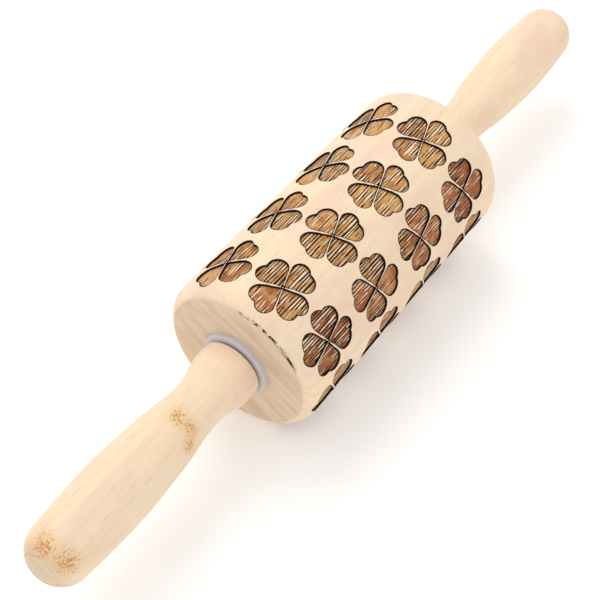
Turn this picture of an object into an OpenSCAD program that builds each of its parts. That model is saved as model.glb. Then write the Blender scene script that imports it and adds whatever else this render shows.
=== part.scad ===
// Engraved wooden rolling pin: a barrel with clover pockets that turns on a steel rod between two handles.
// The rod lies along X, +Z is up, and the origin is the centre of the barrel. Near parts are on the -X side.
// All sizes are in millimetres.

/* [Display] */
// Sub-part to draw, or all of them

/* [Barrel] */
// Diameter of the rolling surface
barrel_d = 58; // [56:1:80]
// Length of the barrel between its end faces
barrel_len = 117; // [112:1:150]
// Radius of the rounding at the barrel's ends
rim_round = 6.5; // [5:0.5:9]
// How far the end face's rim lies inside the rolling surface
rim_inset = 3.4; // [1:0.1:4.5]

/* [Clovers] */
// Number of clovers in a line along the barrel
clovers_along = 4; // [1:1:4]
// Number of clovers around the barrel
clovers_around = 8; // [4:1:8]
// Distance between clovers along the barrel
clover_pitch = 27; // [25:0.5:28]
// Distance from the near end face to the first clover's centre
near_margin = 14.4; // [13:0.1:18]
// Angle of the first line of clovers from the top of the barrel
first_line_angle = 15; // [-45:1:45]
// Depth of the engraving
engraving_depth = 0.7; // [0.4:0.1:2]
// Direction of the first lobe of the leaf along the barrel, in the barrel's surface
clover_turn = -5; // [-45:1:45]
// Distance from the clover's centre to the first lobe of a leaf along the barrel
long_first_distance = 8.5; // [8:0.1:8.6]
// Radius of the first lobe of a leaf along the barrel
long_first_r = 3.1; // [2.8:0.1:3.2]
// Distance from the clover's centre to the second lobe of a leaf along the barrel
long_second_distance = 7.5; // [7.3:0.1:7.8]
// Radius of the second lobe of a leaf along the barrel
long_second_r = 3.5; // [3.2:0.1:3.6]
// Angle between the lobes of a leaf along the barrel
long_spread = 26.5; // [25:0.5:27]
// Angle from the first lobe of a leaf along the barrel to the first lobe of the leaf beside it
short_turn = 87; // [86:0.5:88]
// Distance from the clover's centre to the first lobe of a leaf around the barrel
short_first_distance = 7; // [6.8:0.1:7.5]
// Distance from the clover's centre to the second lobe of a leaf around the barrel
short_second_distance = 7.5; // [7.3:0.1:7.7]
// Radius of the lobes of a leaf around the barrel
short_lobe_r = 3.4; // [3:0.1:3.4]
// Angle between the lobes of a leaf around the barrel
short_spread = 34.5; // [33:0.5:35]
// Distance from the clover's centre to a leaf's pointed tip
leaf_tip = 0.4; // [0.4:0.1:1.2]

/* [Handles] */
// Overall length of the rolling pin
overall_len = 305; // [280:1:380]
// Radius of the collar next to the barrel
collar_r = 10.8; // [10:0.1:13]
// Radius of the neck behind the collar
neck_r = 8.5; // [7.5:0.1:9.5]
// Largest radius of the grip
grip_r = 11.6; // [10.5:0.1:13]
// Radius where the rounded end begins
tail_r = 10.6; // [9.5:0.1:12]
// Length of the rounded end
tail_round = 9.5; // [7:0.5:10]

/* [Rod and fastenings] */
// Diameter of the steel rod
rod_d = 6; // [6:0.5:7]
// Depth of the bore that holds the nut, from the tip of the handle
nut_bore_depth = 15.5; // [14.5:0.5:17]
// Diameter of the nut's bore and of the plug that closes it
plug_d = 12.4; // [12.4:0.1:13]
// Length of the plug, with its rounded end
plug_len = 6.5; // [4:0.5:6.5]

/* [Bushes] */
// Diameter of the bush's flange
flange_d = 24.4; // [22:0.1:27]
// Thickness of the bush's flange
flange_t = 2; // [0.8:0.1:3]
// Diameter of the bush's sleeve
sleeve_d = 18; // [14:0.5:20]
// Length of the bush's sleeve
sleeve_len = 14; // [8:1:20]

/* [Hidden] */
$fn = 96;

// Clearances
running_clearance = 0.05;
end_play = 0.3;
washer_stand = 0.2;
barrel_bore_clearance = 0.6;
edge_break = 0.5;

// Angle by which a leaf's straight sides fall short of touching its lobes, in degrees
side_slack = 1;

// Standard parts for the rod: nut and washers
nut_across_flats = 10;
nut_h = 5;
clamp_washer_d = 12;
clamp_washer_t = 1.6;
thrust_washer_d = 13;
thrust_washer_t = 1;
rod_past_nut = 1.5;

// Derived radii and places along the rod
barrel_r = barrel_d / 2;
rod_r = rod_d / 2;
half_len = barrel_len / 2;
half_overall = overall_len / 2;
flange_face = half_len + flange_t;
thrust_washer_x = flange_face + end_play;
handle_x = thrust_washer_x + washer_stand;
handle_len = half_overall - handle_x;
nut_seat_x = half_overall - nut_bore_depth;
nut_x = nut_seat_x + clamp_washer_t;
rod_half_len = nut_x + nut_h + rod_past_nut;

// Length of the barrel's rounding along the axis
rim_len = sqrt(pow(rim_round, 2) - pow(rim_round - rim_inset, 2));

// Radius of the engraving's floors, how far a leaf reaches from its clover's centre, and where its prism begins
floor_r = barrel_r - engraving_depth;
leaf_reach = long_first_distance + long_first_r;
prism_stand = 0.5;
prism_base = sqrt(pow(floor_r, 2) - pow(leaf_reach, 2)) - prism_stand;

// Lobes of the leaves along and around the barrel: distance from the clover's centre, direction, and radius
long_lobes = [
    [long_first_distance, clover_turn, long_first_r],
    [long_second_distance, clover_turn - long_spread, long_second_r]
];
short_lobes = [
    [short_first_distance, clover_turn + short_turn, short_lobe_r],
    [short_second_distance, clover_turn + short_turn - short_spread, short_lobe_r]
];

// Wood colours, nylon and steel
pale_wood = [0.95, 0.84, 0.70];
barrel_wood = [0.96, 0.85, 0.71];
nylon = [0.80, 0.77, 0.78];
steel = [0.62, 0.63, 0.65];

// Handle outline: distance from the handle's inner face, and radius. The grip's places are shares of its length.
handle_stations = [
    [2, collar_r],
    [6.5, collar_r - 0.05],
    [10, (collar_r + neck_r) / 2 + 0.25],
    [14, neck_r + 0.3],
    [19, neck_r],
    [0.28 * handle_len, neck_r + 0.5],
    [0.37 * handle_len, grip_r - 1.4],
    [0.48 * handle_len, grip_r - 0.6],
    [0.6 * handle_len, grip_r],
    [0.72 * handle_len, grip_r - 0.1],
    [0.82 * handle_len, grip_r - 0.55],
    [handle_len - tail_round, tail_r]
];
collar_lip = 0.9;
steps_per_stretch = 6;
tail_steps = 24;

// Station i of the handle outline, held at its ends
function station(i) = handle_stations[max(0, min(len(handle_stations) - 1, i))];

// Catmull-Rom curve between stations i and i + 1, for t from 0 to 1
function curve_point(i, t) =
    let (a = station(i - 1), b = station(i), c = station(i + 1), d = station(i + 2))
    0.5 * ((2 * b) + (c - a) * t + (2 * a - 5 * b + 4 * c - d) * pow(t, 2)
    + (3 * b - a - 3 * c + d) * pow(t, 3));

// Side of the handle from the collar to where the rounded end begins
function handle_side() = [
    for (i = [0 : len(handle_stations) - 2])
    for (k = [0 : steps_per_stretch - 1])
    curve_point(i, k / steps_per_stretch)
];

// Rounded end of the handle, a quarter of an ellipse
function handle_tail() = [
    for (k = [0 : tail_steps])
    let (a = 90 * k / tail_steps)
    [handle_len - tail_round + tail_round * sin(a), tail_r * cos(a)]
];

// Turns a shape drawn with X as its axis of turning, so that it lies along the rod
module lathe() {
    rotate([0, 90, 0])
    rotate_extrude()
    rotate([0, 0, 90])
    mirror([0, 1, 0])
    children();
}

// Round bar along X between two places
module bar(r, x0, x1) {
    translate([x0, 0, 0])
    rotate([0, 90, 0])
    cylinder(r = r, h = x1 - x0);
}

// The far end's copy of a near part
module at_near_end() {
    mirror([1, 0, 0])
    children();
}

// Half outline of the barrel with its rounded rims
module barrel_outline() {
    straight = half_len - rim_len;
    translate([-straight, 0])
    square([2 * straight, barrel_r]);
    translate([-half_len, 0])
    square([2 * half_len, barrel_r - rim_round]);
    for (side = [-1, 1])
    intersection() {
        translate([side * straight, barrel_r - rim_round])
        circle(r = rim_round);
        translate([-half_len, 0])
        square([2 * half_len, barrel_r]);
    }
}

// Centre of a lobe
function lobe_centre(lobe) = lobe[0] * [cos(lobe[1]), sin(lobe[1])];

// End of the straight side from a leaf's tip to a lobe, just inside the lobe's edge. side is 1 or -1.
function side_end(tip, lobe, side) =
    let (off = lobe_centre(lobe) - tip, touch_angle = asin(lobe[2] / norm(off)))
    let (a = atan2(off[1], off[0]) + side * (touch_angle - side_slack))
    tip + norm(off) * cos(touch_angle) * [cos(a), sin(a)];

// One heart-shaped leaf: two round lobes, and straight sides from its pointed tip near the clover's centre
module leaf(lobes) {
    tip_angle = (lobes[0][1] + lobes[1][1]) / 2;
    tip = leaf_tip * [cos(tip_angle), sin(tip_angle)];
    for (lobe = lobes)
    translate(lobe_centre(lobe))
    circle(r = lobe[2]);
    polygon([
        tip,
        side_end(tip, lobes[1], -1),
        lobe_centre(lobes[1]),
        lobe_centre(lobes[0]),
        side_end(tip, lobes[0], 1)
    ]);
}

// Prisms of all the leaves, standing out from the barrel's axis
module leaf_prisms() {
    for (line = [0 : clovers_around - 1])
    for (place = [0 : clovers_along - 1])
    for (half_turn = [0, 180])
    for (lobes = [long_lobes, short_lobes])
    rotate([first_line_angle + line * 360 / clovers_around, 0, 0])
    translate([place * clover_pitch + near_margin - half_len, 0, prism_base])
    rotate([0, 0, half_turn])
    linear_extrude(height = barrel_r + prism_stand - prism_base)
    leaf(lobes);
}

// Engraved barrel, bored for the rod and bored wider at each end for a bush
module barrel() {
    color(barrel_wood)
    difference() {
        lathe()
        barrel_outline();
        difference() {
            leaf_prisms();
            bar(floor_r, -half_len, half_len);
        }
        bar(rod_r + barrel_bore_clearance, -half_len - 1, half_len + 1);
        bar(sleeve_d / 2, -half_len - 1, -half_len + sleeve_len);
        bar(sleeve_d / 2, half_len - sleeve_len, half_len + 1);
    }
}

// Steel rod through the whole pin, with broken edges
module axle() {
    color(steel)
    lathe()
    polygon([
        [-rod_half_len, 0],
        [-rod_half_len, rod_r - edge_break],
        [-rod_half_len + edge_break, rod_r],
        [rod_half_len - edge_break, rod_r],
        [rod_half_len, rod_r - edge_break],
        [rod_half_len, 0]
    ]);
}

// Flanged nylon bush, drawn at the far end
module bush() {
    color(nylon)
    lathe()
    polygon([
        [half_len - sleeve_len, rod_r + running_clearance],
        [half_len - sleeve_len, sleeve_d / 2 - edge_break],
        [half_len - sleeve_len + edge_break, sleeve_d / 2],
        [half_len, sleeve_d / 2],
        [half_len, flange_d / 2],
        [flange_face - edge_break / 2, flange_d / 2],
        [flange_face, flange_d / 2 - edge_break / 2],
        [flange_face, rod_r + running_clearance]
    ]);
}

// Flat washer on the rod
module washer(outer_d, thickness, x) {
    color(steel)
    difference() {
        bar(outer_d / 2, x, x + thickness);
        bar(rod_r + running_clearance, x - 1, x + thickness + 1);
    }
}

// Hexagon nut with chamfered corners
module nut() {
    corner_r = nut_across_flats / 2 / cos(30);
    chamfer = corner_r - nut_across_flats / 2;
    color(steel)
    difference() {
        intersection() {
            translate([nut_x, 0, 0])
            rotate([0, 90, 0])
            cylinder(r = corner_r, h = nut_h, $fn = 6);
            lathe()
            polygon([
                [nut_x, 0],
                [nut_x, corner_r - chamfer],
                [nut_x + chamfer / 2, corner_r],
                [nut_x + nut_h - chamfer / 2, corner_r],
                [nut_x + nut_h, corner_r - chamfer],
                [nut_x + nut_h, 0]
            ]);
        }
        bar(rod_r, nut_x - 1, nut_x + nut_h + 1);
    }
}

// Solid handle without its bores
module handle_blank() {
    translate([handle_x, 0, 0])
    lathe()
    polygon(concat(
        [[0, 0], [0, collar_r - collar_lip], [collar_lip / 2, collar_r - collar_lip / 4]],
        handle_side(),
        handle_tail()
    ));
}

// Turned handle with a bore for the rod, a seat for the thrust washer and a bore for the nut
module handle() {
    color(pale_wood)
    difference() {
        handle_blank();
        bar(rod_r + running_clearance, handle_x - 1, half_overall + 1);
        bar(thrust_washer_d / 2, handle_x - 1, thrust_washer_x + thrust_washer_t);
        bar(plug_d / 2, nut_seat_x, half_overall + 1);
    }
}

// Wooden plug that closes the nut's bore and carries on the handle's rounded end
module plug() {
    color(pale_wood)
    intersection() {
        handle_blank();
        bar(plug_d / 2, half_overall - plug_len, half_overall + 1);
    }
}

module near_bush() {
    at_near_end()
    bush();
}

module far_bush() {
    bush();
}

module near_thrust_washer() {
    at_near_end()
    washer(thrust_washer_d, thrust_washer_t, thrust_washer_x);
}

module far_thrust_washer() {
    washer(thrust_washer_d, thrust_washer_t, thrust_washer_x);
}

module near_handle() {
    at_near_end()
    handle();
}

module far_handle() {
    handle();
}

module near_clamp_washer() {
    at_near_end()
    washer(clamp_washer_d, clamp_washer_t, nut_seat_x);
}

module far_clamp_washer() {
    washer(clamp_washer_d, clamp_washer_t, nut_seat_x);
}

module near_nut() {
    at_near_end()
    nut();
}

module far_nut() {
    nut();
}

module near_plug() {
    at_near_end()
    plug();
}

module far_plug() {
    plug();
}

barrel();
axle();
near_bush();
far_bush();
near_thrust_washer();
far_thrust_washer();
near_handle();
far_handle();
near_clamp_washer();
far_clamp_washer();
near_nut();
far_nut();
near_plug();
far_plug();
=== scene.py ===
"""Visual model of the engraved wooden rolling pin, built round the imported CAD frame.

Units are metres, in the frame of the CAD: X along the rod towards the far handle, Z up, and the origin at the
centre of the barrel. The barrel, handles and plugs are rebuilt as finer meshes at the CAD's own sizes; the rod,
bushes, washers and nuts keep their CAD shapes and get finished materials.
"""

import math
import random

import bmesh
import bpy
from mathutils import Matrix, Vector
from mathutils.geometry import delaunay_2d_cdt


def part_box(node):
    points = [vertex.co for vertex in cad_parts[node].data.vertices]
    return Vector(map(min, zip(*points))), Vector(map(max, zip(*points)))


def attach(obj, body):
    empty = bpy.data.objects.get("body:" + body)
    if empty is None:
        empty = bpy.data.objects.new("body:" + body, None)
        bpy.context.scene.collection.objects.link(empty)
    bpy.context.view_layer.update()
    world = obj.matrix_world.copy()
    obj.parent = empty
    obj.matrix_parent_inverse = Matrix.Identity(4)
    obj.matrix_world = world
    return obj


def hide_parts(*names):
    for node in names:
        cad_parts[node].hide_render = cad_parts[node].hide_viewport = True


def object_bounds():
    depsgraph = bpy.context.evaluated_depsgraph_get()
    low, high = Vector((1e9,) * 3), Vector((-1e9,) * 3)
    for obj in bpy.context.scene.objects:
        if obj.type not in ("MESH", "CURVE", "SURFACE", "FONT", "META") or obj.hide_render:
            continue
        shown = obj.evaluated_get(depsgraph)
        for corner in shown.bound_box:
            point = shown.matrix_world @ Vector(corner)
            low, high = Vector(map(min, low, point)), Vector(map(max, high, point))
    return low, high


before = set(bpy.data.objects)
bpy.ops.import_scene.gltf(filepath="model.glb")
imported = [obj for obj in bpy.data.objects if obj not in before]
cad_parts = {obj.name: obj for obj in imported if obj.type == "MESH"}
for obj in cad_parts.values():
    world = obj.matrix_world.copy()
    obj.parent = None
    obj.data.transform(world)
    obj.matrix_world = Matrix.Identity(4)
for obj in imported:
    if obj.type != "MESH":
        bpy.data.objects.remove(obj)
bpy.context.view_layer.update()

MM = 0.001

# Sizes read from the frame
HALF_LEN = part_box("barrel")[1].x
BARREL_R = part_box("barrel")[1].z
PIN_HALF_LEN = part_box("far_plug")[1].x
HANDLE_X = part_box("far_handle")[0].x
HANDLE_LEN = PIN_HALF_LEN - HANDLE_X
WASHER_END_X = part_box("far_thrust_washer")[1].x
WASHER_SEAT_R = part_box("far_thrust_washer")[1].z
NUT_SEAT_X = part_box("far_clamp_washer")[0].x
PLUG_X, PLUG_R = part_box("far_plug")[0].x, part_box("far_plug")[1].z
SLEEVE_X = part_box("far_bush")[0].x
ROD_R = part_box("axle")[1].z

# Barrel: the rounding at its ends, its bores, and the clovers, as the CAD has them
RIM_ROUND = 6.5 * MM
RIM_INSET = 3.4 * MM
RIM_LEN = math.sqrt(RIM_ROUND**2 - (RIM_ROUND - RIM_INSET) ** 2)
SLEEVE_R = 9 * MM
BARREL_BORE_R = ROD_R + 0.6 * MM
CLOVERS_ALONG = 4
CLOVERS_AROUND = 8
CLOVER_PITCH = 27 * MM
NEAR_MARGIN = 14.4 * MM
FIRST_LINE_ANGLE = math.radians(15)
ENGRAVING_DEPTH = 0.7 * MM
FLOOR_R = BARREL_R - ENGRAVING_DEPTH
LEAVES_PER_CLOVER = 4
LEAF_TIP = 0.4 * MM
SIDE_SLACK = math.radians(1)

# Lobes of the leaves along and around the barrel: distance from the clover's centre, direction, and radius
LONG_LOBES = ((8.5 * MM, math.radians(-5), 3.1 * MM), (7.5 * MM, math.radians(-31.5), 3.5 * MM))
SHORT_LOBES = ((7 * MM, math.radians(82), 3.4 * MM), (7.5 * MM, math.radians(47.5), 3.4 * MM))

# Handle outline: distance from the handle's inner face, and radius
COLLAR_R = 10.8 * MM
NECK_R = 8.5 * MM
GRIP_R = 11.6 * MM
TAIL_R = 10.6 * MM
TAIL_ROUND = 9.5 * MM
COLLAR_LIP = 0.9 * MM
HANDLE_STATIONS = [
    (2 * MM, COLLAR_R),
    (6.5 * MM, COLLAR_R - 0.05 * MM),
    (10 * MM, (COLLAR_R + NECK_R) / 2 + 0.25 * MM),
    (14 * MM, NECK_R + 0.3 * MM),
    (19 * MM, NECK_R),
    (0.28 * HANDLE_LEN, NECK_R + 0.5 * MM),
    (0.37 * HANDLE_LEN, GRIP_R - 1.4 * MM),
    (0.48 * HANDLE_LEN, GRIP_R - 0.6 * MM),
    (0.6 * HANDLE_LEN, GRIP_R),
    (0.72 * HANDLE_LEN, GRIP_R - 0.1 * MM),
    (0.82 * HANDLE_LEN, GRIP_R - 0.55 * MM),
    (HANDLE_LEN - TAIL_ROUND, TAIL_R),
]
HANDLE_BORE_R = ROD_R + 0.05 * MM
PLUG_BEVEL = 0.18 * MM

# Burnt line round a leaf, which fades over two steps outside its edge and over one inside it: the widths of the
# steps, and how charred the first outer step and the floor's edge are. Between close leaves the line is thinner.
SCORCH_W = 0.28 * MM
CHAR_W = 0.35 * MM
SCORCH_CHAR = 0.42
FLOOR_CHAR = 0.6

# How far apart along the barrel two clovers' centres can be with their leaves still near each other
NEAR_CLOVERS = 2 * (LONG_LOBES[0][0] + LONG_LOBES[0][2])

# Spacing of the growth rings, how far they wander, and how far apart along the grain the pieces are cut, in
# millimetres
RING_PITCH = 3.4
RING_WANDER = 14.0
SEED_SHIFT = 37.0

# Slope of the streaks in the end grain, and how squarely a surface faces along the rod where its end grain begins on
# the barrel, where it begins on a handle, and where it is full
END_SLOPE = math.radians(28)
BARREL_END_START = 0.75
HANDLE_END_START = 0.3
FULL_END_GRAIN = 0.98

# Noises in the wood: grains in a millimetre along and across the fibres, levels of detail, and roughness
WANDER = ((0.012, 0.05, 0.05), 3.0, 0.5)
BLOTCHES = ((0.035, 0.09, 0.09), 3.0, 0.55)
STREAKS = ((0.02, 0.5, 0.5), 5.0, 0.6)
FIBRES = ((0.06, 4.5, 4.5), 3.0, 0.6)
PORES = ((0.22, 3.2, 3.2), 1.0, 0.5)
END_BANDS = ((0.05, 0.045, 0.24), 2.0, 0.5)
SPECKLES = ((1.3, 1.6, 1.6), 3.0, 0.7)
RAGGED = ((1.1, 1.1, 1.1), 3.0, 0.5)

# The values between which each layer of the wood fades in, then how strongly it colours the wood
RING_FADE, RING_STRENGTH = (-0.6, 1.0), 0.3
BLOTCH_FADE = (0.4, 0.7)
STREAK_FADE, STREAK_STRENGTH = (0.42, 0.75), 0.5
FIBRE_FADE, FIBRE_STRENGTH = (0.45, 0.8), 0.25
PORE_FADE, PORE_STRENGTH = (0.66, 0.78), 0.35
BAND_FADE = (0.35, 0.75)
END_FIBRE_FADE, END_FIBRE_STRENGTH = (0.35, 0.7), 0.4
SPECK_FADE, SPECK_STRENGTH = (0.68, 0.8), 0.85
SPECK_EDGE, HALO_STRENGTH = (0.0, 0.3), 0.6
SCORCH_FADE = (0.6, 0.8)

# How much specks gather in the middle of their patch, how much a ragged noise moves the edge of a burnt line, and how
# much deeper a pore is than a fibre
SPECK_GATHER = 0.25
RAGGED_SHARE = 0.5
PORE_DEPTH = 1.5

# Pith of the tree that each piece is cut from, across the piece's axis, in millimetres
BARREL_PITH = (19.0, -46.0)
HANDLE_PITH = {"near": (-22.0, 17.0), "far": (16.0, -25.0)}
PLUG_PITH_Z = 31.0

# Brown specks on the near handle: places and radii of their patches, in millimetres
NEAR_SPECKS = (
    ((-147.5, 0.5, 9.0), 8.0),
    ((-146.5, -7.0, 6.5), 7.5),
    ((-91.0, -2.5, 9.3), 6.0),
    ((-90.5, -7.0, 6.5), 5.5),
    ((-94.5, -9.2, 4.0), 5.0),
)

# Painted shade on the near rim: short dark dashes along its edge, where the edge only shades darker. The distances
# from the rim, along and across the rod in millimetres, over which they fade in, and the angles from the top, in
# radians, over which they begin and end
RIM_SHADE_REACH_ALONG = (0.9, 0.5)
RIM_SHADE_REACH_ACROSS = (0.6, 0.35)
RIM_SHADE_START = (-0.05, 0.15)
RIM_SHADE_END = (1.15, 0.95)

# Noise that breaks the painted rim shade up, in grains per radian round the rim and per millimetre outwards, and its
# fade
RIM_SHADE_DASHES = ((11.0, 1.0, 1.0), 3.0, 0.7)
RIM_SHADE_FADE = (0.46, 0.52)

# How dark each line of clovers is burnt, from 0 to 1, the line's share in a leaf's own darkness, what turns a leaf's
# darkness into a second number for it, how far apart in the noise two leaves can be, and the spacing of the burnt
# lines in millimetres
LINE_TONES = (0.3, 0.85, 0.5, 0.2, 0.7, 0.4, 0.65, 0.35)
LINE_SHARE = 0.6
TONE_SEED = 11
TONE_SHUFFLE = 7.31
LEAF_APART = 90.0
BURN_PITCH = 1.05

# Noises in a leaf's floor: grains in a millimetre along and around the barrel, and from leaf to leaf; then levels of
# detail, and roughness
PATCHES = ((0.25, 0.3, 1.0), 3.0, 0.5)
FINE = ((0.9, 2.4, 1.0), 4.0, 0.7)
PASSES = ((0.05, 0.5, 1.0), 2.0, 0.5)
BREAKS = ((0.13, 0.9, 3.0), 2.0, 0.6)

# The values between which each layer of a leaf's floor fades in, then how strongly it colours the floor
RUSSET_FADE = (0.2, 0.75)
UMBER_FADE = (0.75, 1.2)
SOOT_FADE, SOOT_STRENGTH = (0.45, 0.8), 0.55
BARE_FADE, BARE_STRENGTH = (0.45, 0.25), 0.35
BREAK_FADE = (0.54, 0.61)
DARK_FADE = (0.1, 0.45)
PALE_FADE, PALE_STRENGTH = (-0.15, -0.5), 0.95
PALE_BREAK_FADE = (0.49, 0.57)
BURNT_FADE = (0.5, 0.85)
BURNT_SHEEN = (-1.5, 1.0)

# Strength of the patches, counted from the noise's middle value; then of the burnt lines' wander, of a leaf's own
# tone in the breaks of its lines, and of the fine noise in its relief
PATCH_SHARE = 1.3
NOISE_MIDDLE = 0.5
PASS_WANDER = 9.0
BREAK_SHARE = 0.2
FINE_DEPTH = 0.6

# Noises in the nylon and the steel, as in the wood
CLOUD = ((0.25, 0.25, 0.25), 3.0, 0.5)
MATT = ((6.0, 6.0, 6.0), 3.0, 0.5)
DRAWN = ((9.0, 0.6, 0.6), 4.0, 0.5)
ZINC_CLOUDS = ((0.3, 0.3, 0.3), 2.0, 0.5)

# Roughness of the surfaces, from and to, and the depth, strength and sheen of their relief
WOOD_ROUGHNESS, NYLON_ROUGHNESS, STEEL_ROUGHNESS = (0.52, 0.7), (0.32, 0.48), (0.25, 0.42)
SANDED = {"depth": 0.12 * MM, "strength": 0.5, "Specular IOR Level": 0.3}
BURNT = {"depth": 0.1 * MM, "strength": 0.6, "Specular IOR Level": 0.2}
MOULDED = {"depth": 0.03 * MM, "strength": 0.3, "Specular IOR Level": 0.5}
PLATED = {"depth": 0.02 * MM, "strength": 0.3, "Metallic": 1.0}

# Colours of the wood, its end grain and its burnt parts, as they look on a screen, from 0 to 255
PALE = (247, 224, 192)
AMBER = (238, 207, 170)
BLUSH = (243, 211, 187)
FLECK = (214, 180, 140)
END_GRAIN = (232, 208, 180)
END_DARK = (208, 183, 155)
SPECK = (198, 132, 56)
SPECK_HALO = (238, 196, 134)
GOLDEN = (216, 163, 98)
RUSSET = (168, 100, 60)
UMBER = (108, 62, 40)
CHAR = (26, 15, 11)
RIDGE = (248, 228, 200)

# Colours of the nylon and the plated steel, and the darker ones of their clouding
NYLON = (214, 210, 212)
NYLON_CLOUD = (196, 191, 194)
ZINC = (200, 201, 204)
ZINC_CLOUD = (178, 180, 184)

# Camera, floor and surround
CAMERA_LENS = 82.0
CAMERA_PLACE = (-0.2660, -0.1661, 0.3472)
CAMERA_TARGET = (-0.0257, -0.0013, 0.0)
CAMERA_ROLL = math.radians(1.2)
FLOOR_SIZE = 6.0
FLOOR_GLOW = 0.15
SURROUND = 0.86
FLOOR_SHADE = (0.92, 0.92, 0.92, 1)
FLOOR_ROUGHNESS = 0.9
WHITE = (1, 1, 1, 1)
SENSOR_WIDTH = 36

# Lights: place, diameter and power
KEY_LIGHT = ((0.25, 0.55, 0.95), 0.7, 3.6)
FILL_LIGHT = ((-0.7, 0.1, 0.7), 0.9, 0.4)

# Fineness of the meshes: steps across a line of clovers, along the barrel and round curves
LINE_STEPS = 32
ALONG_STEP = 1.25 * MM
RIM_STEPS = 9
SIDE_STEPS = 7
ARC_STEPS = 20
FACE_STEPS = 5
CURVE_STEPS = 10
TAIL_STEPS = 20
LATHE_STEPS = 144

# Clear space between the barrel's regular points and the burnt line, and the share of its distance from its own leaf
# that a point beside a leaf has to keep from every leaf
GRID_GAP = 0.12 * MM
BESIDE_SHARE = 0.85

# The turn between faces that stays a crisp edge, the distances at which points count as one in space and on the
# unrolled barrel, and the area under which a face is dropped
SHARP_EDGE = math.radians(24)
MERGE_DISTANCE = 1e-6
TOUCHING = 1e-9
FLAT_AREA = 1e-14


# ---------------------------------------------------------------- meshes


def finish_mesh(bm, name):
    """Turns a bmesh into an object with smooth shading, and crisp edges where its faces turn sharply."""
    bmesh.ops.remove_doubles(bm, verts=bm.verts, dist=MERGE_DISTANCE)
    bmesh.ops.recalc_face_normals(bm, faces=bm.faces)
    for face in bm.faces:
        face.smooth = True
    for edge in bm.edges:
        edge.smooth = edge.calc_face_angle(math.pi) < SHARP_EDGE
    mesh = bpy.data.meshes.new(name)
    bm.to_mesh(mesh)
    bm.free()
    obj = bpy.data.objects.new(name, mesh)
    bpy.context.scene.collection.objects.link(obj)
    return obj


def lathe(name, outline, side):
    """Turns a closed outline of (x, radius) points round the X axis. side is -1 for the near end's copy."""
    bm = bmesh.new()
    rings = []
    for k in range(LATHE_STEPS):
        angle = 2 * math.pi * k / LATHE_STEPS
        rings.append([bm.verts.new((side * x, r * math.sin(angle), r * math.cos(angle))) for x, r in outline])
    for k, ring in enumerate(rings):
        next_ring = rings[(k + 1) % LATHE_STEPS]
        for i in range(len(outline)):
            j = (i + 1) % len(outline)
            bm.faces.new((ring[i], ring[j], next_ring[j], next_ring[i]))
    bmesh.ops.remove_doubles(bm, verts=bm.verts, dist=MERGE_DISTANCE)
    flat = [face for face in bm.faces if face.calc_area() < FLAT_AREA]
    bmesh.ops.delete(bm, geom=flat, context="FACES")
    return finish_mesh(bm, name)


def barrel_radius(x):
    """Radius of the barrel's outside at x, with its rounded rims."""
    into_rim = max(0.0, abs(x) - (HALF_LEN - RIM_LEN))
    return BARREL_R - RIM_ROUND + math.sqrt(RIM_ROUND**2 - into_rim**2)


def polar(distance, angle):
    """The point at a distance and angle from the origin."""
    return Vector((distance * math.cos(angle), distance * math.sin(angle)))


def leaf_side(tip, lobe, side):
    """End of the straight side from a leaf's tip to a lobe. side is 1 or -1."""
    off = polar(lobe[0], lobe[1]) - tip
    touch = math.asin(lobe[2] / off.length)
    return tip + polar(off.length * math.cos(touch), math.atan2(off.y, off.x) + side * (touch - SIDE_SLACK))


def arc(centre, start, end):
    """Points anticlockwise round a centre, from one point to another."""
    a0 = math.atan2(start.y - centre.y, start.x - centre.x)
    a1 = math.atan2(end.y - centre.y, end.x - centre.x)
    sweep = (a1 - a0) % (2 * math.pi)
    r0, r1 = (start - centre).length, (end - centre).length
    return [
        centre + polar(r0 + (r1 - r0) * k / ARC_STEPS, a0 + sweep * k / ARC_STEPS)
        for k in range(ARC_STEPS + 1)
    ]


def leaf_outline(lobes):
    """Points anticlockwise round one heart-shaped leaf, from its tip near the clover's centre."""
    (_, angle, r), (_, other_angle, other_r) = lobes
    first, second = polar(*lobes[0][:2]), polar(*lobes[1][:2])
    tip = polar(LEAF_TIP, (angle + other_angle) / 2)
    between = first - second
    along = (other_r**2 - r**2 + between.length_squared) / (2 * between.length)
    ahead = between.normalized()
    notch = second + along * ahead + math.sqrt(other_r**2 - along**2) * Vector((ahead.y, -ahead.x))
    start, end = leaf_side(tip, lobes[1], -1), leaf_side(tip, lobes[0], 1)
    side_in = [tip.lerp(start, k / SIDE_STEPS) for k in range(SIDE_STEPS)]
    side_out = [end.lerp(tip, k / SIDE_STEPS) for k in range(1, SIDE_STEPS)]
    return side_in + arc(second, start, notch) + arc(first, notch, end)[1:] + side_out


def leaves_of_a_line():
    """Outlines, as (x, y) points, of every leaf in one line of clovers along the barrel."""
    leaves = []
    for place in range(CLOVERS_ALONG):
        centre = NEAR_MARGIN + place * CLOVER_PITCH - HALF_LEN
        for way in (1, -1):
            for lobes in (LONG_LOBES, SHORT_LOBES):
                leaves.append([(centre + way * point.x, way * point.y) for point in leaf_outline(lobes)])
    return leaves


def edge_distance(point, outline):
    """Distance from a point to the nearest edge of a closed outline."""
    px, py = point
    best = math.inf
    for (ax, ay), (bx, by) in zip(outline, outline[1:] + outline[:1]):
        ux, uy = bx - ax, by - ay
        t = max(0.0, min(1.0, ((px - ax) * ux + (py - ay) * uy) / (ux * ux + uy * uy)))
        best = min(best, math.hypot(px - ax - t * ux, py - ay - t * uy))
    return best


def beside(outline, amount):
    """Points beside an outline's corners: outside it, or inside it for a negative amount."""
    points = []
    for i, (x, y) in enumerate(outline):
        (x0, y0), (x1, y1) = outline[i - 1], outline[(i + 1) % len(outline)]
        length = math.hypot(x1 - x0, y1 - y0)
        points.append((x + amount * (y1 - y0) / length, y - amount * (x1 - x0) / length))
    return points


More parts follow.
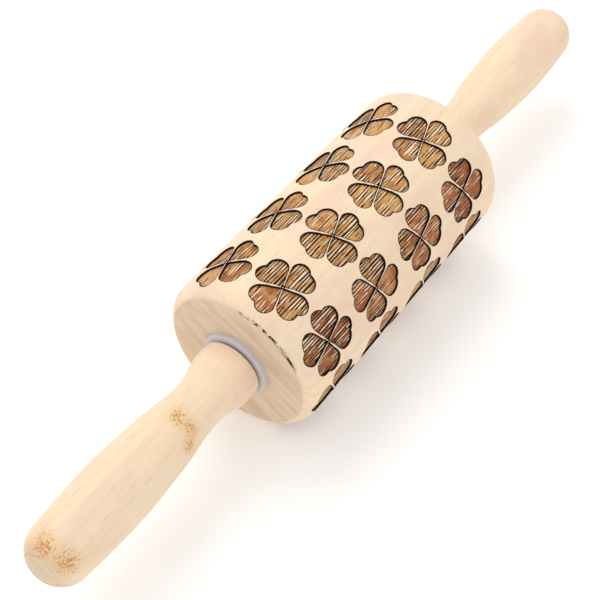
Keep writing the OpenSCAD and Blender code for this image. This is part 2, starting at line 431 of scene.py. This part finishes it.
def along_places():
    """Places along the barrel where its mesh has points, closer together in the rounded rims."""
    rim_angle = math.asin(RIM_LEN / RIM_ROUND)
    straight = HALF_LEN - RIM_LEN
    rim = [straight + RIM_ROUND * math.sin(rim_angle * k / RIM_STEPS) for k in range(1, RIM_STEPS)]
    steps = round(2 * straight / ALONG_STEP)
    middle = [-straight + 2 * straight * k / steps for k in range(steps + 1)]
    return [-HALF_LEN] + [-x for x in reversed(rim)] + middle + rim + [HALF_LEN]


def unrolled(x, y):
    """A leaf's point on the barrel's unrolled surface. y is measured square to the line's middle plane."""
    return Vector((x, BARREL_R * math.asin(y / barrel_radius(x))))


def line_steps():
    """Angles across one line of clovers, from one side to the other."""
    half = math.pi / CLOVERS_AROUND
    return [half * (2 * k / LINE_STEPS - 1) for k in range(LINE_STEPS + 1)]


def clear(x, y, leaves, gap):
    """True if a point is at least gap from the edges of the leaves that it could be near."""
    near = [leaf for leaf in leaves if abs(leaf[0][0] - x) < NEAR_CLOVERS]
    return all(edge_distance((x, y), leaf) >= gap for leaf in near)


def regular_points(leaves):
    """Evenly spread points between the line's two sides, clear of the leaves' edges and burnt lines."""
    points = []
    for x in along_places():
        for angle in line_steps()[1:-1]:
            if clear(x, barrel_radius(x) * math.sin(angle), leaves, 2 * SCORCH_W + GRID_GAP):
                points.append(Vector((x, BARREL_R * angle)))
    return points


def burnt_line_points(leaves):
    """Points beside the leaves' edges, over which the burnt line fades, and how charred each is."""
    found = []
    for leaf in leaves:
        inner = [point for point in beside(leaf, -CHAR_W) if clear(*point, leaves, BESIDE_SHARE * CHAR_W)]
        found += [(point, 0.0) for point in inner]
        for near, far in zip(beside(leaf, SCORCH_W), beside(leaf, 2 * SCORCH_W)):
            open_side = clear(*far, leaves, 2 * BESIDE_SHARE * SCORCH_W)
            if clear(*near, leaves, BESIDE_SHARE * SCORCH_W):
                found.append((near, SCORCH_CHAR if open_side else 0.0))
            if open_side:
                found.append((far, 0.0))
    return found


def line_of_clovers():
    """One line of clovers, unrolled: points, how charred each is, triangles, and each triangle's leaf or None."""
    leaves = leaves_of_a_line()
    points, edges, loops, char = [], [], [], {}
    for side_angle in (line_steps()[0], line_steps()[-1]):
        first = len(points)
        points += [Vector((x, BARREL_R * side_angle)) for x in along_places()]
        edges += [(i, i + 1) for i in range(first, len(points) - 1)]
    points += regular_points(leaves)
    for leaf in leaves:
        loops.append(list(range(len(points), len(points) + len(leaf))))
        char.update(dict.fromkeys(loops[-1], 1.0))
        points += [unrolled(x, y) for x, y in leaf]
    for (x, y), value in burnt_line_points(leaves):
        char[len(points)] = value
        points.append(unrolled(x, y))
    verts, _, faces, vert_sources, _, face_sources = delaunay_2d_cdt(points, edges, loops, 0, TOUCHING)
    charred = [max((char.get(k, 0.0) for k in source), default=0.0) for source in vert_sources]
    return verts, charred, faces, [source[0] if source else None for source in face_sources]


def pocket_edges(triangles, leaf_of):
    """The edges between a leaf and the surface round it, each with its leaf."""
    owners = {}
    for triangle, leaf in zip(triangles, leaf_of):
        for a, b in zip(triangle, triangle[1:] + triangle[:1]):
            owners.setdefault((min(a, b), max(a, b)), []).append(leaf)
    return [
        (edge, next(leaf for leaf in pair if leaf is not None))
        for edge, pair in owners.items()
        if len(pair) == 2 and (pair[0] is None) != (pair[1] is None)
    ]


def add_line(bm, turn, flat_line, walls, tones):
    """One line of clovers, rolled onto the barrel: its outside, and its pockets' floors and walls."""
    points, charred, triangles, leaf_of = flat_line
    char = bm.verts.layers.float["char"]
    tone = bm.faces.layers.float["leaf_tone"]
    made = {}

    def vert(i, sunk):
        """The vertex at a point, on the outside or sunk to the pocket's floor."""
        if (i, sunk) not in made:
            x, angle = points[i].x, points[i].y / BARREL_R
            r = barrel_radius(x)
            y = r * math.sin(angle)
            z = math.sqrt(FLOOR_R**2 - y * y) if sunk else r * math.cos(angle)
            made[i, sunk] = bm.verts.new(turn @ Vector((x, y, z)))
            made[i, sunk][char] = FLOOR_CHAR * charred[i] if sunk else charred[i]
        return made[i, sunk]

    for triangle, leaf in zip(triangles, leaf_of):
        sunk = leaf is not None
        face = bm.faces.new([vert(i, sunk) for i in triangle])
        face.material_index = int(sunk)
        face[tone] = tones[leaf] if sunk else 0.0
    for (a, b), leaf in walls:
        face = bm.faces.new((vert(a, False), vert(b, False), vert(b, True), vert(a, True)))
        face.material_index = 1
        face[tone] = tones[leaf]


def barrel_mesh():
    """The barrel: its outside with the clovers cut in, its end faces, and its bores."""
    flat_line = line_of_clovers()
    walls = pocket_edges(*flat_line[2:])
    bm = bmesh.new()
    bm.verts.layers.float.new("char")
    bm.faces.layers.float.new("leaf_tone")
    rng = random.Random(TONE_SEED)
    for line in range(CLOVERS_AROUND):
        turn = Matrix.Rotation(FIRST_LINE_ANGLE + line * 2 * math.pi / CLOVERS_AROUND, 3, "X")
        line_tone = LINE_SHARE * LINE_TONES[line]
        tones = [line_tone + (1 - LINE_SHARE) * rng.random() for _ in range(LEAVES_PER_CLOVER * CLOVERS_ALONG)]
        add_line(bm, turn, flat_line, walls, tones)
        add_barrel_inside(bm, turn)
    return finish_mesh(bm, "engraved_barrel")


def add_barrel_inside(bm, turn):
    """The end faces and bores behind one line of clovers."""
    rim_r = barrel_radius(HALF_LEN)
    face_radii = [rim_r + (SLEEVE_R - rim_r) * k / FACE_STEPS for k in range(FACE_STEPS + 1)]
    far_side = [(SLEEVE_X, BARREL_BORE_R), (SLEEVE_X, SLEEVE_R)] + [(HALF_LEN, r) for r in reversed(face_radii)]
    outline = [(-x, r) for x, r in reversed(far_side)] + far_side
    rows = [
        [bm.verts.new(turn @ Vector((x, r * math.sin(angle), r * math.cos(angle)))) for x, r in outline]
        for angle in line_steps()
    ]
    for row, other in zip(rows, rows[1:]):
        for i in range(len(outline) - 1):
            bm.faces.new((row[i], row[i + 1], other[i + 1], other[i]))


def catmull_rom(p, q, r, s, t):
    """The curve through q and r at t from 0 to 1, led in by p and out by s."""
    return 0.5 * (2 * q + (r - p) * t + (2 * p - 5 * q + 4 * r - s) * t**2 + (3 * q - p - 3 * r + s) * t**3)


def spline(stations, steps):
    """A Catmull-Rom curve through stations, as points."""
    points = []
    for i in range(len(stations) - 1):
        a, b, c, d = (stations[max(0, min(len(stations) - 1, i + k))] for k in (-1, 0, 1, 2))
        for k in range(steps):
            points.append(tuple(catmull_rom(*values, k / steps) for values in zip(a, b, c, d)))
    return points


def tail_outline(start, end):
    """The rounded end of a handle, a quarter of an ellipse, between two of its angles."""
    points = []
    for k in range(TAIL_STEPS + 1):
        a = start + (end - start) * k / TAIL_STEPS
        points.append((PIN_HALF_LEN - TAIL_ROUND + TAIL_ROUND * math.sin(a), TAIL_R * math.cos(a)))
    return points


def handle_mesh(name, side):
    """A turned handle with its bores, seat and rounded end."""
    lip = [(HANDLE_X, COLLAR_R - COLLAR_LIP), (HANDLE_X + COLLAR_LIP / 2, COLLAR_R - COLLAR_LIP / 4)]
    grip = [(HANDLE_X + x, r) for x, r in spline(HANDLE_STATIONS, CURVE_STEPS)]
    mouth = math.acos((PLUG_R + PLUG_BEVEL) / TAIL_R)
    mouth_x = PIN_HALF_LEN - TAIL_ROUND + TAIL_ROUND * math.sin(mouth)
    inside = [
        (mouth_x - PLUG_BEVEL, PLUG_R),
        (NUT_SEAT_X, PLUG_R),
        (NUT_SEAT_X, HANDLE_BORE_R),
        (WASHER_END_X, HANDLE_BORE_R),
        (WASHER_END_X, WASHER_SEAT_R),
        (HANDLE_X, WASHER_SEAT_R),
    ]
    return lathe(name, lip + grip + tail_outline(0.0, mouth) + inside, side)


def plug_mesh(name, side):
    """The plug over a nut, with a bevelled edge and the end of the handle's rounding."""
    edge = math.acos((PLUG_R - PLUG_BEVEL) / TAIL_R)
    edge_x = PIN_HALF_LEN - TAIL_ROUND + TAIL_ROUND * math.sin(edge)
    dome = tail_outline(edge, math.pi / 2)
    dome[-1] = (dome[-1][0], 0.0)
    return lathe(name, [(PLUG_X, 0.0), (PLUG_X, PLUG_R), (edge_x - PLUG_BEVEL, PLUG_R)] + dome, side)


# ---------------------------------------------------------------- materials


def colour(red, green, blue):
    """A colour given as it looks on a screen, from 0 to 255, as the shaders' linear values."""

    def linear(value):
        value /= 255
        return value / 12.92 if value <= 0.04045 else ((value + 0.055) / 1.055) ** 2.4

    return (linear(red), linear(green), linear(blue), 1.0)


class Shader:
    """A material under construction, with short calls for the nodes that these materials share."""

    def __init__(self, name):
        self.material = bpy.data.materials.new(name)
        self.material.use_nodes = True
        self.tree = self.material.node_tree
        self.principled = self.tree.nodes["Principled BSDF"]

    def node(self, kind, inputs=None, **settings):
        """A node with its settings made and its inputs set or linked."""
        node = self.tree.nodes.new(kind)
        for key, value in settings.items():
            setattr(node, key, value)
        for key, value in (inputs or {}).items():
            if isinstance(value, bpy.types.NodeSocket):
                self.tree.links.new(value, node.inputs[key])
            else:
                node.inputs[key].default_value = value
        return node

    def math(self, operation, a, b=0.0):
        """One arithmetic step on one or two values."""
        return self.node("ShaderNodeMath", {0: a, 1: b}, operation=operation).outputs[0]

    def scaled(self, vector, factors):
        """A vector with each part multiplied by its own factor."""
        return self.node("ShaderNodeVectorMath", {0: vector, 1: factors}, operation="MULTIPLY").outputs[0]

    def moved(self, vector, offset):
        """A vector with an offset added."""
        return self.node("ShaderNodeVectorMath", {0: vector, 1: offset}, operation="ADD").outputs[0]

    def parts(self, vector):
        """The X, Y and Z of a vector."""
        return self.node("ShaderNodeSeparateXYZ", {0: vector}).outputs

    def noise(self, vector, settings):
        """Smooth noise from 0 to 1, mostly near 0.5, for a noise's scale, detail and roughness."""
        scale, detail, roughness = settings
        inputs = {"Vector": self.scaled(vector, scale), "Scale": 1.0, "Detail": detail, "Roughness": roughness}
        return self.node("ShaderNodeTexNoise", inputs).outputs["Fac"]

    def ease(self, value, low, high):
        """0 before low, 1 past high, and smooth between them. low may be the larger of the two."""
        inputs = {"Value": value, "From Min": low, "From Max": high}
        return self.node("ShaderNodeMapRange", inputs, interpolation_type="SMOOTHSTEP").outputs[0]

    def between(self, value, low, high):
        """A value from 0 to 1 as one from low to high."""
        inputs = {"Value": value, "To Min": low, "To Max": high}
        return self.node("ShaderNodeMapRange", inputs).outputs[0]

    def length(self, vector):
        """The length of a vector."""
        return self.node("ShaderNodeVectorMath", {0: vector}, operation="LENGTH").outputs["Value"]

    def combined(self, x, y, z=0.0):
        """A vector from its X, Y and Z."""
        return self.node("ShaderNodeCombineXYZ", {0: x, 1: y, 2: z}).outputs[0]

    def tint(self, base, amount, shade, strength=1.0):
        """The base, taken towards a shade as far as the amount and strength say."""
        return self.mix(self.math("MULTIPLY", amount, strength), base, colour(*shade))

    def mix(self, amount, a, b):
        """Colour a where the amount is 0 and b where it is 1."""
        inputs = {"Factor": amount, 6: a, 7: b}
        return self.node("ShaderNodeMix", inputs, data_type="RGBA").outputs[2]

    def attribute(self, name):
        """A value that the mesh carries on its points or faces."""
        return self.node("ShaderNodeAttribute", attribute_name=name).outputs["Fac"]

    def millimetres(self):
        """The object's own coordinates, in millimetres."""
        return self.scaled(self.node("ShaderNodeTexCoord").outputs["Object"], (1 / MM,) * 3)

    def facing_ends(self, start):
        """1 where the surface faces along the rod, as end grain does, and 0 where it faces outwards."""
        normal = self.parts(self.node("ShaderNodeTexCoord").outputs["Normal"])[0]
        return self.ease(self.math("ABSOLUTE", normal), start, FULL_END_GRAIN)

    def surface(self, base, roughness, height, finish):
        """Links colour, roughness and relief into the shader, and sets what is the same all over."""
        uniform = dict(finish)
        inputs = {"Height": height, "Distance": uniform.pop("depth"), "Strength": uniform.pop("strength")}
        links = self.tree.links
        links.new(base, self.principled.inputs["Base Color"])
        links.new(roughness, self.principled.inputs["Roughness"])
        links.new(self.node("ShaderNodeBump", inputs).outputs[0], self.principled.inputs["Normal"])
        for name, value in uniform.items():
            self.principled.inputs[name].default_value = value
        return self.material


def growth_rings(shader, at, pith):
    """How deep in the dark part of its growth ring each point is, for rings round a pith beside the piece."""
    wander = shader.math("MULTIPLY", shader.noise(at, WANDER), RING_WANDER)
    _, off_y, off_z = shader.parts(shader.moved(at, (0, -pith[0], -pith[1])))
    warped = shader.math("ADD", shader.length(shader.combined(0.0, off_y, off_z)), wander)
    rings = shader.math("SINE", shader.math("MULTIPLY", warped, 2 * math.pi / RING_PITCH))
    return shader.ease(rings, *RING_FADE)


def end_grain(shader, at, fibres):
    """Colour of the wood where it is cut across: soft sloping streaks and the ends of its fibres."""
    sloping = shader.node("ShaderNodeMapping", {"Vector": at, "Rotation": (-END_SLOPE, 0, 0)}).outputs[0]
    bands = shader.ease(shader.noise(sloping, END_BANDS), *BAND_FADE)
    base = shader.mix(bands, colour(*END_GRAIN), colour(*END_DARK))
    return shader.tint(base, shader.ease(fibres, *END_FIBRE_FADE), END_DARK, END_FIBRE_STRENGTH)


def grain(shader, at, pith, seed, end_start):
    """Wood: its colour, its height, and its streaks. end_start is where the end grain begins."""
    at = shader.moved(at, (seed * SEED_SHIFT, 0, 0))
    streaks = shader.noise(at, STREAKS)
    fibres = shader.noise(at, FIBRES)
    pores = shader.ease(shader.noise(at, PORES), *PORE_FADE)
    rings = shader.math("MULTIPLY", growth_rings(shader, at, pith), RING_STRENGTH)
    dark = shader.math("ADD", rings, shader.ease(streaks, *STREAK_FADE))

    blotches = shader.ease(shader.noise(at, BLOTCHES), *BLOTCH_FADE)
    base = shader.mix(blotches, colour(*PALE), colour(*BLUSH))
    base = shader.tint(base, dark, AMBER, STREAK_STRENGTH)
    base = shader.tint(base, shader.ease(fibres, *FIBRE_FADE), FLECK, FIBRE_STRENGTH)
    base = shader.tint(base, pores, FLECK, PORE_STRENGTH)
    base = shader.mix(shader.facing_ends(end_start), base, end_grain(shader, at, fibres))
    height = shader.math("SUBTRACT", fibres, shader.math("MULTIPLY", pores, PORE_DEPTH))
    return base, height, streaks


def sanded(shader, base, height, streaks):
    """Finishes a wood shader with the soft sheen of sanded, unvarnished wood."""
    return shader.surface(base, shader.between(streaks, *WOOD_ROUGHNESS), height, SANDED)


def wood(name, pith, seed, specks=()):
    """Plain wood. specks are (place in mm, radius in mm) of patches of small rough brown marks."""
    shader = Shader(name)
    at = shader.millimetres()
    base, height, streaks = grain(shader, at, pith, seed, HANDLE_END_START)
    for place, radius in specks:
        off = shader.moved(at, tuple(-c for c in place))
        near = shader.ease(shader.length(off), radius, 0.0)
        gathered = shader.math("ADD", shader.noise(off, SPECKLES), shader.math("MULTIPLY", near, SPECK_GATHER))
        mark = shader.math("MULTIPLY", shader.ease(gathered, *SPECK_FADE), shader.ease(near, *SPECK_EDGE))
        base = shader.tint(base, near, SPECK_HALO, HALO_STRENGTH)
        base = shader.tint(base, mark, SPECK, SPECK_STRENGTH)
        height = shader.math("SUBTRACT", height, mark)
    return sanded(shader, base, height, streaks)


def rim_painted_shade(shader, at):
    """Painted shade: short dark dashes along part of the near end's rim edge, as a mask."""
    x, y, z = shader.parts(at)
    radius = shader.length(shader.scaled(at, (0, 1, 1)))
    angle = shader.math("ARCTAN2", shader.math("MULTIPLY", y, -1.0), z)
    off_rim = shader.math("ABSOLUTE", shader.math("SUBTRACT", radius, barrel_radius(HALF_LEN) / MM))
    off_face = shader.math("ADD", x, HALF_LEN / MM)
    masks = (
        shader.ease(off_face, *RIM_SHADE_REACH_ALONG),
        shader.ease(off_rim, *RIM_SHADE_REACH_ACROSS),
        shader.ease(angle, *RIM_SHADE_START),
        shader.ease(angle, *RIM_SHADE_END),
    )
    shade_dashes = shader.ease(shader.noise(shader.combined(angle, radius), RIM_SHADE_DASHES), *RIM_SHADE_FADE)
    for mask in masks:
        shade_dashes = shader.math("MULTIPLY", shade_dashes, mask)
    return shade_dashes


def barrel_wood():
    """The barrel's wood, scorched in a thin line round each leaf, with painted shade in dark dashes along the near
    rim.
    """
    shader = Shader("barrel_wood")
    at = shader.millimetres()
    base, height, streaks = grain(shader, at, BARREL_PITH, 1, BARREL_END_START)
    ragged = shader.math("MULTIPLY", shader.noise(at, RAGGED), RAGGED_SHARE)
    scorch = shader.ease(shader.math("ADD", shader.attribute("char"), ragged), *SCORCH_FADE)
    base = shader.tint(base, scorch, CHAR)
    # Painted shade: dark dashes along the near rim's edge, in the char colour
    base = shader.tint(base, rim_painted_shade(shader, at), CHAR)
    return sanded(shader, base, height, streaks)


def burnt_browns(shader, tone, spread, fine):
    """The browns of a leaf's floor, from golden to umber by its tone and by patches in it."""
    patches = shader.math("SUBTRACT", shader.noise(spread, PATCHES), NOISE_MIDDLE)
    depth = shader.math("ADD", tone, shader.math("MULTIPLY", patches, PATCH_SHARE))
    base = shader.mix(shader.ease(depth, *RUSSET_FADE), colour(*GOLDEN), colour(*RUSSET))
    base = shader.tint(base, shader.ease(depth, *UMBER_FADE), UMBER)
    base = shader.tint(base, shader.ease(fine, *SOOT_FADE), UMBER, SOOT_STRENGTH)
    return shader.tint(base, shader.ease(fine, *BARE_FADE), RIDGE, BARE_STRENGTH)


def engraved_wood():
    """Burnt floors and walls of the leaves: brown of several depths, lined along the barrel, black at the edge."""
    shader = Shader("engraved_wood")
    x, y, z = shader.parts(shader.millimetres())
    around = shader.math("MULTIPLY", shader.math("ARCTAN2", y, z), BARREL_R / MM)
    tone = shader.attribute("leaf_tone")
    spread = shader.combined(x, around, shader.math("MULTIPLY", tone, LEAF_APART))
    fine = shader.noise(spread, FINE)
    base = burnt_browns(shader, tone, spread, fine)

    wander = shader.math("MULTIPLY", shader.noise(spread, PASSES), PASS_WANDER)
    passes = shader.math("MULTIPLY", around, 2 * math.pi / BURN_PITCH)
    wave = shader.math("SINE", shader.math("ADD", passes, wander))
    breaks = shader.noise(spread, BREAKS)
    other_tone = shader.math("FRACT", shader.math("MULTIPLY", tone, TONE_SHUFFLE))
    own_breaks = shader.math("ADD", breaks, shader.math("MULTIPLY", other_tone, BREAK_SHARE))
    lined = shader.ease(own_breaks, *BREAK_FADE)
    pale = shader.math("MULTIPLY", shader.ease(wave, *PALE_FADE), shader.ease(breaks, *PALE_BREAK_FADE))
    base = shader.tint(base, pale, RIDGE, PALE_STRENGTH)
    base = shader.tint(base, shader.math("MULTIPLY", shader.ease(wave, *DARK_FADE), lined), CHAR)

    ragged = shader.math("MULTIPLY", fine, RAGGED_SHARE)
    burnt = shader.ease(shader.math("ADD", shader.attribute("char"), ragged), *BURNT_FADE)
    base = shader.tint(base, burnt, CHAR)
    relief = shader.math("MULTIPLY", fine, FINE_DEPTH)
    height = shader.math("SUBTRACT", relief, shader.math("MULTIPLY", wave, lined))
    return shader.surface(base, shader.ease(fine, *BURNT_SHEEN), height, BURNT)


def nylon():
    """Moulded nylon, slightly clouded, with a fine matt texture."""
    shader = Shader("nylon_satin")
    at = shader.millimetres()
    cloud = shader.noise(at, CLOUD)
    base = shader.mix(cloud, colour(*NYLON), colour(*NYLON_CLOUD))
    return shader.surface(base, shader.between(cloud, *NYLON_ROUGHNESS), shader.noise(at, MATT), MOULDED)


def steel():
    """Zinc-plated steel, slightly clouded, with drawing marks round the rod."""
    shader = Shader("zinc_steel")
    at = shader.millimetres()
    marks = shader.noise(at, DRAWN)
    base = shader.mix(shader.noise(at, ZINC_CLOUDS), colour(*ZINC), colour(*ZINC_CLOUD))
    return shader.surface(base, shader.between(marks, *STEEL_ROUGHNESS), marks, PLATED)


# ---------------------------------------------------------------- pieces


def dress(obj, *materials):
    """Gives a new object its materials, in the order of its faces' material numbers."""
    for material in materials:
        obj.data.materials.append(material)


def build_pieces():
    """The finer wooden pieces, and finished materials on the CAD pieces that stay."""
    barrel = barrel_mesh()
    dress(barrel, barrel_wood(), engraved_wood())
    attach(barrel, "barrel")
    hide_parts("barrel")

    for seed, (end, side) in enumerate((("near", -1), ("far", 1)), start=2):
        handle = handle_mesh(f"turned_{end}_handle", side)
        specks = NEAR_SPECKS if end == "near" else ()
        dress(handle, wood(f"{end}_handle_wood", HANDLE_PITH[end], seed, specks))
        plug = plug_mesh(f"domed_{end}_plug", side)
        dress(plug, wood(f"{end}_plug_wood", (HANDLE_PITH[end][1], PLUG_PITH_Z), seed + 2))
        for piece, node, slot in ((handle, f"{end}_handle", "handle_wood"), (plug, f"{end}_plug", "plug_wood")):
            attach(piece, "handles")
            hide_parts(node)

    nylon_material, steel_material = nylon(), steel()
    kept = {"bush": nylon_material, "washer": steel_material, "nut": steel_material, "axle": steel_material}
    for name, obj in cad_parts.items():
        for ending, material in kept.items():
            if name.endswith(ending):
                for place in range(len(obj.material_slots)):
                    obj.material_slots[place].material = material


# ---------------------------------------------------------------- camera, floor and light


def look_at(obj, place, target):
    """Puts an object at a place with its -Z axis towards a target and its Y axis up."""
    obj.location = place
    obj.rotation_euler = (Vector(target) - Vector(place)).to_track_quat("-Z", "Y").to_euler()


def area_light(name, place, size, power):
    """A round soft light at a place, aimed at the middle of the barrel."""
    data = bpy.data.lights.new(name, "AREA")
    data.shape = "DISK"
    data.size = size
    data.energy = power
    obj = bpy.data.objects.new(name, data)
    bpy.context.scene.collection.objects.link(obj)
    look_at(obj, place, (0, 0, 0))


def build_camera():
    """Camera above the near handle, looking down along the pin."""
    data = bpy.data.cameras.new("camera")
    data.lens = CAMERA_LENS
    data.sensor_width = SENSOR_WIDTH
    obj = bpy.data.objects.new("camera", data)
    bpy.context.scene.collection.objects.link(obj)
    look_at(obj, CAMERA_PLACE, CAMERA_TARGET)
    obj.rotation_euler.rotate_axis("Z", CAMERA_ROLL)
    bpy.context.scene.camera = obj


def build_stage():
    """A pale floor under the barrel, a soft key light above and behind, and an even surround."""
    bpy.ops.mesh.primitive_plane_add(size=FLOOR_SIZE, location=(0, 0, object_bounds()[0].z))
    floor = bpy.context.object
    floor.name = "floor"
    shader = Shader("pale_floor")
    shader.principled.inputs["Base Color"].default_value = FLOOR_SHADE
    shader.principled.inputs["Roughness"].default_value = FLOOR_ROUGHNESS
    shader.principled.inputs["Emission Color"].default_value = WHITE
    shader.principled.inputs["Emission Strength"].default_value = FLOOR_GLOW
    dress(floor, shader.material)

    world = bpy.data.worlds.new("surround")
    world.use_nodes = True
    world.node_tree.nodes["Background"].inputs["Color"].default_value = WHITE
    world.node_tree.nodes["Background"].inputs["Strength"].default_value = SURROUND
    bpy.context.scene.world = world
    area_light("key", *KEY_LIGHT)
    area_light("fill", *FILL_LIGHT)


bpy.context.scene.view_settings.view_transform = "Standard"
build_pieces()
build_camera()
build_stage()
